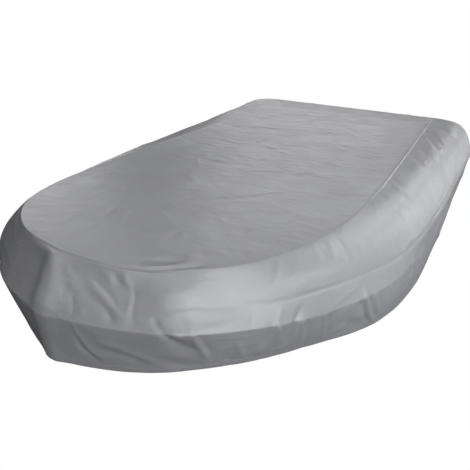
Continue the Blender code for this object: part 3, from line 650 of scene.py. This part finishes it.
def top_height(x, y, distance, ridge_height):
    """Height of the top panel over a point in plan."""
    forward = smooth_step((-y - BOW_CROWN_START) / BOW_CROWN_LENGTH)
    crown = TOP_CROWN + (BOW_CROWN - TOP_CROWN) * forward
    start = math.hypot(CROWN_REACH, CROWN_BEND)
    share = distance + start - np.hypot(distance - CROWN_REACH, CROWN_BEND)
    z = rise(y) + crown * share / (CROWN_REACH + start)
    fold = TOP_RELIEF * (fold_relief(x, -y, TOP_FOLDS) + fold_relief(x, -y, TOP_SMALL))
    fold += sum(swell(x, y, *row) for row in TOP_SWELLS)
    return z + fold * smooth_step((distance - TOP_FOLD_START) / FOLD_START_REACH) + ridge_height


# ---- Meshes ----
def side_columns():
    """Lengths of the side panel's columns round the seam."""
    parts = []
    for start, end, spacing in COLUMN_SPACING:
        count = max(2, round((end - start) / spacing))
        parts.append(np.linspace(start, end, count + 1)[:-1])
    return np.concatenate(parts)


def side_rows(along):
    """Lines down of the side panel's rows, one row of the result for each."""
    lines = np.linspace(0.0, SHOULDER, NEAR_SEAM_SEARCH)
    lengths = np.stack([girth(along, line) for line in lines])
    # where the shoulder is short, the near rows close up, so that they stay above the first line
    room = NEAR_SEAM_SHARE * girth(along, LINE_STEPS[0][0])
    rows = []
    for near_row in NEAR_SEAM:
        distance = near_row * np.minimum(1.0, room / NEAR_SEAM[-1])
        row = np.zeros(len(along))
        for k in range(len(lines) - 1):
            inside = (lengths[k] <= distance) & (lengths[k + 1] > distance)
            part = (distance - lengths[k]) / (lengths[k + 1] - lengths[k])
            row = np.where(inside, lines[k] + part * (lines[k + 1] - lines[k]), row)
        rows.append(row)
    for start, end, count in LINE_STEPS:
        for line in np.linspace(start, end, count + 1)[:-1]:
            rows.append(same(along, line))
    rows.append(same(along, HEM))
    return rows


def ring_quads(first, second, count):
    """Quads between two closed rows of vertices, given by their first indices."""
    k = np.arange(count)
    after = (k + 1) % count
    return np.column_stack([first + k, second + k, second + after, first + after])


def vertex_normals(points, quads):
    """Outward directions at the points of a net of quads."""
    corners = points[quads]
    face = np.cross(corners[:, 2] - corners[:, 0], corners[:, 3] - corners[:, 1])
    total = np.zeros_like(points)
    for k in range(4):
        np.add.at(total, quads[:, k], face)
    return unit(total)


def new_piece(name, points, faces, material):
    """A piece of the scene with smooth faces and one material."""
    mesh = bpy.data.meshes.new(name)
    mesh.from_pydata(points, [], faces)
    mesh.shade_smooth()
    mesh.materials.append(material)
    piece = bpy.data.objects.new(name, mesh)
    bpy.context.scene.collection.objects.link(piece)
    return piece


def make_sheet(name, points, quads, uv, normals, thickness, borders, material):
    """A closed sheet of cloth with a UV map in metres of cloth."""
    count = len(points)
    inner = points - normals * thickness[:, None]
    faces = [quads, quads[:, ::-1] + count]
    for border in borders:
        after = np.roll(border, -1)
        faces.append(np.column_stack([after, border, border + count, after + count]))
    faces = np.concatenate(faces)
    piece = new_piece(name, np.concatenate([points, inner]) - ORIGIN, faces, material)
    layer = piece.data.uv_layers.new(name="UVMap")
    both = np.concatenate([uv, uv])
    layer.data.foreach_set("uv", both[faces.ravel()].ravel().astype(np.float32))
    piece.data.set_sharp_from_angle(angle=SHARP_ANGLE)
    piece.data.validate()
    return piece


def make_side_cloth(material):
    """The side panel: a ring of rows and columns."""
    along = side_columns()
    count = len(along)
    rows = side_rows(along)
    points = [side_point(along, down)[0] for down in rows]
    out = outward(along)
    points[0] = points[0] + out * (SEAM_GAP / 2)
    flats = [np.column_stack([along, girth(along, down)]) for down in rows]
    for place, (inset, depth) in enumerate(ALLOWANCE):
        under = points[place] - out * inset
        under[:, 2] -= depth + ridge(along, same(along, 0.0)) - ridge(along, same(along, inset))
        points.insert(place, under)
        flats.insert(place, np.column_stack([along, same(along, -inset - depth)]))
    points = np.concatenate(points)
    rows = [rows[0]] * len(ALLOWANCE) + rows
    quads = np.concatenate([
        ring_quads(r * count, (r + 1) * count, count) for r in range(len(rows) - 1)])
    normals = vertex_normals(points, quads)
    edge = len(ALLOWANCE) * count
    _, normals[edge:edge + count] = side_point(along, rows[0])
    thickness = np.concatenate([
        same(along, HEM_CLOTH if row[0] >= HEM_CLOTH_LINE else CLOTH) for row in rows])
    last = (len(rows) - 1) * count
    borders = [np.arange(count)[::-1], last + np.arange(count)]
    return make_sheet("side_cloth", points, quads, np.concatenate(flats), normals, thickness,
                      borders, material)


def relax(grid, steps):
    """Move each inner point of a grid towards its neighbours' mean, over and over."""
    for _ in range(steps):
        around = grid[2:, 1:-1] + grid[:-2, 1:-1] + grid[1:-1, 2:] + grid[1:-1, :-2]
        grid[1:-1, 1:-1] = around / 4
    return grid


def top_columns(doubled):
    """Lengths of the top panel's corners round the seam, for a grid doubled so many times."""
    across = TOP_ACROSS * 2 ** doubled
    deep = TOP_DEEP * 2 ** doubled
    stern = np.linspace(CORNER_ALONG, HALF_LENGTH, across // 2 + 1)
    side = np.linspace(CORNER_ALONG, BOW_QUARTER, deep + 1)
    bow = np.linspace(-BOW_QUARTER, BOW_QUARTER, across + 1)
    loop = [stern[:-1], -stern[::-1][:-1], -side[:-1], bow[:-1], side[::-1][:-1]]
    return np.concatenate(loop), across, deep


def inset_loop(along, inset):
    """The seam in plan, moved inwards."""
    x, y, _, out_x, out_y = rim(along)
    return np.column_stack([x - out_x * inset, y - out_y * inset])


def set_border(grid, loop, across, deep):
    """Lay a closed loop round the border of a grid."""
    grid[:, 0] = loop[:across + 1]
    grid[across, :] = loop[across:across + deep + 1]
    grid[::-1, deep] = loop[across + deep:2 * across + deep + 1]
    grid[0, ::-1] = np.concatenate([loop[2 * across + deep:], loop[:1]])


def top_grid():
    """The top panel's inner grid in plan, evened out on finer and finer grids."""
    along, across, deep = top_columns(0)
    grid = np.zeros((across + 1, deep + 1, 2))
    set_border(grid, inset_loop(along, NEAR_SEAM[-1]), across, deep)
    u = np.linspace(0.0, 1.0, across + 1)[:, None, None]
    v = np.linspace(0.0, 1.0, deep + 1)[None, :, None]
    straight = (1 - u) * grid[:1] + u * grid[-1:] + (1 - v) * grid[:, :1] + v * grid[:, -1:]
    corners = ((1 - u) * (1 - v) * grid[0, 0] + u * (1 - v) * grid[-1, 0]
               + (1 - u) * v * grid[0, -1] + u * v * grid[-1, -1])
    grid[1:-1, 1:-1] = (straight - corners)[1:-1, 1:-1]
    relax(grid, TOP_FIRST_RELAX)
    for doubled in range(1, TOP_DOUBLINGS + 1):
        along, across, deep = top_columns(doubled)
        finer = np.zeros((across + 1, deep + 1, 2))
        finer[::2, ::2] = grid
        finer[1::2, ::2] = (grid[1:] + grid[:-1]) / 2
        finer[:, 1::2] = (finer[:, 2::2] + finer[:, :-2:2]) / 2
        set_border(finer, inset_loop(along, NEAR_SEAM[-1]), across, deep)
        grid = relax(finer, TOP_RELAX)
    return grid, along, across, deep


def make_top_cloth(material):
    """The top panel: rings along the seam and a grid inside them."""
    grid, along, across, deep = top_grid()
    count = len(along)
    inner = grid[1:-1, 1:-1].reshape(-1, 2)
    plan = np.concatenate([inset_loop(along, inset) for inset in NEAR_SEAM] + [inner])
    distance = np.concatenate([same(along, inset) for inset in NEAR_SEAM]
                              + [seam_distance(inner[:, 0], inner[:, 1])])
    base = (len(NEAR_SEAM) - 1) * count
    number = np.zeros((across + 1, deep + 1), int)
    set_border(number, base + np.arange(count), across, deep)
    number[1:-1, 1:-1] = (base + count + np.arange(len(inner))).reshape(across - 1, deep - 1)
    grid_quads = np.stack([
        number[:-1, :-1], number[1:, :-1], number[1:, 1:], number[:-1, 1:]], axis=-1)
    quads = [ring_quads((r + 1) * count, r * count, count) for r in range(len(NEAR_SEAM) - 1)]
    quads = np.concatenate(quads + [grid_quads.reshape(-1, 4)])
    ridge_height = np.concatenate([ridge(along, same(along, inset)) for inset in NEAR_SEAM]
                                  + [np.zeros(len(inner))])
    height = top_height(plan[:, 0], plan[:, 1], distance, ridge_height)
    points = np.column_stack([plan, height])
    normals = vertex_normals(points, quads)
    normals[:count] = seam_direction(along, TOP_EDGE_LEAN)
    points[:count] -= outward(along) * (SEAM_GAP / 2)
    thickness = np.full(len(points), CLOTH)
    return make_sheet("top_cloth", points, quads, plan, normals, thickness,
                      [np.arange(count)], material)


# ---- Stitching ----
STITCH_PITCH = 0.0042
STITCH_LENGTH = 0.0031
STITCH_RADIUS = 0.00045
STITCH_PROUD = 0.3  # share of the radius by which its middle stands over the cloth
STITCH_SIDES = 6
# rings of a stitch: share of its length from its middle, and share of its radius
STITCH_RINGS = ((-0.5, 0.15), (-0.32, 0.85), (0.0, 1.0), (0.32, 0.85), (0.5, 0.15))
STITCH_REACH = 0.0015  # length along over which its direction is taken
SEAM_STITCH_LINE = 0.0025  # distance of the seam's stitches from the seam
SEAM_PITCH_LINE = 0.03  # line down on which they are spaced out
HEM_STITCH_DEPTH = 0.017  # height of the hem's stitches over the edge
HEM_PITCH_LINE = 3.88
STITCH_END = 0.001  # length left free at both ends of the seam
STITCH_SEARCH = 4000  # points measured to space them out
HEM_LAST_LINE = 3.5  # the cloth between it and the hem serves to turn that height into lines


def stitch_mesh(name, centres, directions, normals, material):
    """Threads that show as short rounded dashes on the cloth."""
    points = []
    aside = unit(np.cross(normals, directions))
    for place, part in STITCH_RINGS:
        for k in range(STITCH_SIDES):
            angle = 2 * math.pi / STITCH_SIDES * k
            points.append(centres + directions * (place * STITCH_LENGTH)
                          + (aside * math.cos(angle) + normals * math.sin(angle))
                          * (part * STITCH_RADIUS))
    points = np.stack(points, axis=1)
    rings = len(STITCH_RINGS)
    quads = np.concatenate([
        ring_quads(s * STITCH_SIDES, (s + 1) * STITCH_SIDES, STITCH_SIDES)[:, [0, 3, 2, 1]]
        for s in range(rings - 1)])
    side = np.arange(STITCH_SIDES)
    caps = np.stack([side[::-1], (rings - 1) * STITCH_SIDES + side])
    starts = (np.arange(len(centres)) * rings * STITCH_SIDES)[:, None, None]
    faces = [face for part in (quads, caps) for stitch in part + starts for face in stitch]
    return new_piece(name, points.reshape(-1, 3) - ORIGIN, faces, material)


def line_of_stitches(along, down):
    """Centres, directions and normals of stitches along a line of the side panel."""
    point, normal = side_point(along, down)
    ahead, _ = side_point(along + STITCH_REACH, down)
    behind, _ = side_point(along - STITCH_REACH, down)
    return point + normal * (STITCH_RADIUS * STITCH_PROUD), unit(ahead - behind), normal


def even_lengths(line):
    """Lengths along the seam, a stitch's pitch apart on a line of the side panel."""
    along = np.linspace(-HALF_LENGTH + STITCH_END, HALF_LENGTH - STITCH_END, STITCH_SEARCH)
    points, _ = side_point(along, same(along, line))
    length = np.concatenate([[0.0], np.cumsum(np.linalg.norm(np.diff(points, axis=0), axis=1))])
    return np.interp(np.arange(0.0, length[-1], STITCH_PITCH), length, along)


def seam_stitch_lines(along):
    """Lines down of the stitches beside the seam."""
    return np.clip(SEAM_STITCH_LINE / girth(along, SHOULDER), 0.0, 1.0)


def hem_stitch_lines(along):
    """Lines down of the stitches over the hem's edge."""
    last = girth(along, HEM) - girth(along, HEM_LAST_LINE)
    return HEM - (HEM - HEM_LAST_LINE) * HEM_STITCH_DEPTH / last


# ---- Materials ----
CLOTH_COLOUR = (0.197, 0.199, 0.210)
THREAD_COLOUR = (0.200, 0.202, 0.212)
CLOTH_ROUGHNESS = (0.44, 0.52)  # where the coating is least and most worn
CREASE_TURN = 0.45  # direction of the fine creases, in radians


def node(tree, kind, **values):
    """A new node with some of its settings and sockets filled in."""
    made = tree.nodes.new(kind)
    for key, value in values.items():
        if key in made.inputs.keys():
            made.inputs[key].default_value = value
        else:
            setattr(made, key, value)
    return made


def new_material(name):
    """A material with its node tree and its shader."""
    material = bpy.data.materials.new(name)
    material.use_nodes = True
    return material, material.node_tree, material.node_tree.nodes["Principled BSDF"]


def noise(tree, vector, **values):
    """A noise over some coordinates."""
    made = node(tree, "ShaderNodeTexNoise", **values)
    tree.links.new(vector, made.inputs["Vector"])
    return made.outputs["Fac"]


def maths(tree, operation, *inputs):
    """The result of a Math node whose inputs are numbers or other nodes' outputs."""
    made = node(tree, "ShaderNodeMath", operation=operation)
    for socket, value in enumerate(inputs):
        if isinstance(value, float):
            made.inputs[socket].default_value = value
        else:
            tree.links.new(value, made.inputs[socket])
    return made.outputs[0]


def tint(tree, factor, shader, colour, dark, light):
    """Colour a shader between two ends, each given by its factor and its share of the colour."""
    ramp = node(tree, "ShaderNodeValToRGB")
    for element, (position, share) in zip(ramp.color_ramp.elements, (dark, light)):
        element.position = position
        element.color = tuple(min(1.0, c * share) for c in colour) + (1.0,)
    tree.links.new(factor, ramp.inputs["Fac"])
    tree.links.new(ramp.outputs["Color"], shader.inputs["Base Color"])


def bump(tree, height, target, strength, distance):
    """A bump node whose normal goes to another node; returns it."""
    made = node(tree, "ShaderNodeBump", Strength=strength, Distance=distance)
    tree.links.new(height, made.inputs["Height"])
    tree.links.new(made.outputs["Normal"], target.inputs["Normal"])
    return made


def cloth_material(name):
    """Coated polyester: a fine plain weave under a soft sheen, with faint dust and rub marks."""
    material, tree, shader = new_material(name)
    shader.inputs["Roughness"].default_value = sum(CLOTH_ROUGHNESS) / 2
    shader.inputs["IOR"].default_value = 1.6
    shader.inputs["Specular IOR Level"].default_value = 0.5
    place = node(tree, "ShaderNodeTexCoord").outputs
    # colour: slow cloudiness and dust
    cloud = noise(tree, place["Object"], Scale=3.0, Detail=3.0)
    speck = noise(tree, place["Object"], Scale=240.0, Detail=2.0)
    dirt = maths(tree, "MULTIPLY_ADD", speck, 0.25, maths(tree, "MULTIPLY", cloud, 0.75))
    tint(tree, dirt, shader, CLOTH_COLOUR, (0.30, 0.94), (0.70, 1.05))
    # roughness: the coating is worn unevenly
    worn = noise(tree, place["Object"], Scale=9.0, Detail=4.0)
    rough = node(tree, "ShaderNodeMapRange", **{
        "From Min": 0.3, "From Max": 0.7, "To Min": CLOTH_ROUGHNESS[0], "To Max": CLOTH_ROUGHNESS[1]})
    tree.links.new(worn, rough.inputs["Value"])
    tree.links.new(rough.outputs["Result"], shader.inputs["Roughness"])
    # bump, from the top layer down: the weave, the fine creases, the crumples
    yarns = []
    for direction in "XY":
        yarn = node(tree, "ShaderNodeTexWave", bands_direction=direction, Scale=260.0, Distortion=0.3)
        tree.links.new(place["UV"], yarn.inputs["Vector"])
        yarns.append(yarn.outputs["Fac"])
    weave = bump(tree, maths(tree, "MULTIPLY", *yarns), shader, 0.25, 0.00012)
    turned = node(tree, "ShaderNodeMapping", Rotation=(0.0, 0.0, CREASE_TURN), Scale=(1.0, 1.9, 1.0))
    tree.links.new(place["UV"], turned.inputs["Vector"])
    crease = noise(tree, turned.outputs["Vector"], noise_type="RIDGED_MULTIFRACTAL", Scale=9.0,
                   Detail=2.0, Roughness=0.6, Lacunarity=2.3, Offset=0.9, Gain=1.2, Distortion=0.25)
    patch = noise(tree, place["UV"], Scale=5.0, Detail=1.0)
    sharp = bump(tree, maths(tree, "MULTIPLY", crease, patch), weave, 0.9, 0.0015)
    crumple = noise(tree, place["Object"], Scale=26.0, Detail=3.0, Roughness=0.55, Distortion=0.4)
    bump(tree, crumple, sharp, 0.35, 0.0016)
    return material


def thread_material(name):
    """Twisted polyester thread."""
    material, tree, shader = new_material(name)
    shader.inputs["Roughness"].default_value = 0.55
    place = node(tree, "ShaderNodeTexCoord").outputs
    twist = noise(tree, place["Object"], Scale=900.0, Detail=1.0)
    tint(tree, twist, shader, THREAD_COLOUR, (0.0, 0.8), (1.0, 1.0))
    bump(tree, twist, shader, 0.4, 0.0002)
    return material


# ---- The pieces ----
top_cloth = make_top_cloth(cloth_material("top_cloth"))
side_cloth = make_side_cloth(cloth_material("side_cloth"))
thread = thread_material("thread")
seam_along = even_lengths(SEAM_PITCH_LINE)
seam_stitches = stitch_mesh(
    "seam_stitches", *line_of_stitches(seam_along, seam_stitch_lines(seam_along)), thread)
hem_along = even_lengths(HEM_PITCH_LINE)
hem_stitches = stitch_mesh(
    "hem_stitches", *line_of_stitches(hem_along, hem_stitch_lines(hem_along)), thread)

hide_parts("top_panel")
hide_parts("side_panel")
for piece, slot in ((top_cloth, "top_cloth"), (side_cloth, "side_cloth"),
                    (seam_stitches, "side_cloth"), (hem_stitches, "side_cloth")):
    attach(piece, "root")

# ---- Floor and backdrop ----
FLOOR_Z = -0.02
FLOOR_RADIUS = 16.0
FLOOR_CURVE = 6.0  # radius of the curve from floor to wall
FLOOR_CURVE_START = 0.15  # angle of its first ring
FLOOR_CURVE_RINGS = 10
WALL_HEIGHT = 20.0
FLOOR_SIDES = 64


def backdrop():
    """A plain white floor that curves up into a wall all round."""
    rings = [(FLOOR_RADIUS, 0.0)]
    rings += [(FLOOR_RADIUS + FLOOR_CURVE * math.sin(a), FLOOR_CURVE * (1.0 - math.cos(a)))
              for a in np.linspace(FLOOR_CURVE_START, math.pi / 2, FLOOR_CURVE_RINGS)]
    rings += [(FLOOR_RADIUS + FLOOR_CURVE, WALL_HEIGHT)]
    points = [(0.0, 0.0, FLOOR_Z)]
    for radius, height in rings:
        for k in range(FLOOR_SIDES):
            angle = 2 * math.pi * k / FLOOR_SIDES
            points.append((radius * math.cos(angle), radius * math.sin(angle), FLOOR_Z + height))
    faces = [(0, 1 + k, 1 + (k + 1) % FLOOR_SIDES) for k in range(FLOOR_SIDES)]
    for ring in range(len(rings) - 1):
        first = 1 + ring * FLOOR_SIDES
        faces += list(ring_quads(first, first + FLOOR_SIDES, FLOOR_SIDES))
    material, tree, shader = new_material("floor_white")
    tree.nodes.remove(shader)
    glow = node(tree, "ShaderNodeEmission", Color=(1.0, 1.0, 1.0, 1.0), Strength=1.0)
    tree.links.new(glow.outputs[0], tree.nodes["Material Output"].inputs["Surface"])
    floor = new_piece("floor", points, faces, material)
    floor.visible_diffuse = False
    floor.visible_glossy = False
    floor.visible_shadow = False


backdrop()

# ---- Light ----
# name, azimuth and elevation in degrees, side of its square in metres, watts; azimuth 0 stands
# before the bow, 90 to starboard
LIGHTS = (
    ("front", 20.0, 20.0, 2.0, 60.0),
    ("key", 55.0, 30.0, 2.5, 60.0),
    ("key_low", 60.0, 15.0, 2.0, 90.0),
    ("side", 90.0, 25.0, 2.5, 60.0),
    ("side_floor", 100.0, 5.0, 2.0, 25.0),
    ("quarter_floor", 140.0, 5.0, 1.5, 35.0),
    ("quarter", 150.0, 30.0, 1.5, 65.0),
    ("back", 200.0, 20.0, 3.0, 55.0),
    ("overhead", 340.0, 75.0, 1.5, 45.0),
    ("port_high", 250.0, 40.0, 2.0, 25.0),
    ("port_low", 250.0, 10.0, 2.0, 30.0),
)
LIGHT_DISTANCE = 4.5
LIGHT_AIM = np.array((0.0, 0.0, 0.25))


def soft_light(name, azimuth, elevation, size, power):
    """A square softbox that faces the cover."""
    a, e = math.radians(azimuth), math.radians(elevation)
    back = np.array((math.sin(a) * math.cos(e), -math.cos(a) * math.cos(e), math.sin(e)))
    data = bpy.data.lights.new(name, "AREA")
    data.shape = "SQUARE"
    data.size = size
    data.energy = power
    lamp = bpy.data.objects.new(name, data)
    lamp.location = LIGHT_AIM + back * LIGHT_DISTANCE
    lamp.rotation_euler = (math.pi / 2 - e, 0.0, a)
    bpy.context.scene.collection.objects.link(lamp)


for row in LIGHTS:
    soft_light(*row)
world = bpy.data.worlds.new("studio")
world.use_nodes = True
background = world.node_tree.nodes["Background"]
background.inputs["Color"].default_value = (1.0, 1.0, 1.0, 1.0)
background.inputs["Strength"].default_value = 0.0  # all the light comes from the softboxes
bpy.context.scene.world = world
bpy.context.scene.view_settings.view_transform = "Standard"
bpy.context.scene.view_settings.look = "None"

# ---- Camera, at the photograph's place ----
CAMERA_PLACE = np.array((0.738, -2.598, 0.585))  # from the middle of the stern seam
CAMERA_DOWN = 30.2  # degrees it looks down
CAMERA_TURN = 31.1  # degrees it looks to port of dead astern
CAMERA_LENS = 30.79
CAMERA_SENSOR = 36.0

camera_data = bpy.data.cameras.new("camera")
camera_data.sensor_width = CAMERA_SENSOR
camera_data.lens = CAMERA_LENS
camera = bpy.data.objects.new("camera", camera_data)
camera.location = CAMERA_PLACE - ORIGIN
camera.rotation_euler = (math.radians(90.0 - CAMERA_DOWN), 0.0, math.radians(CAMERA_TURN))
bpy.context.scene.collection.objects.link(camera)
bpy.context.scene.camera = camera
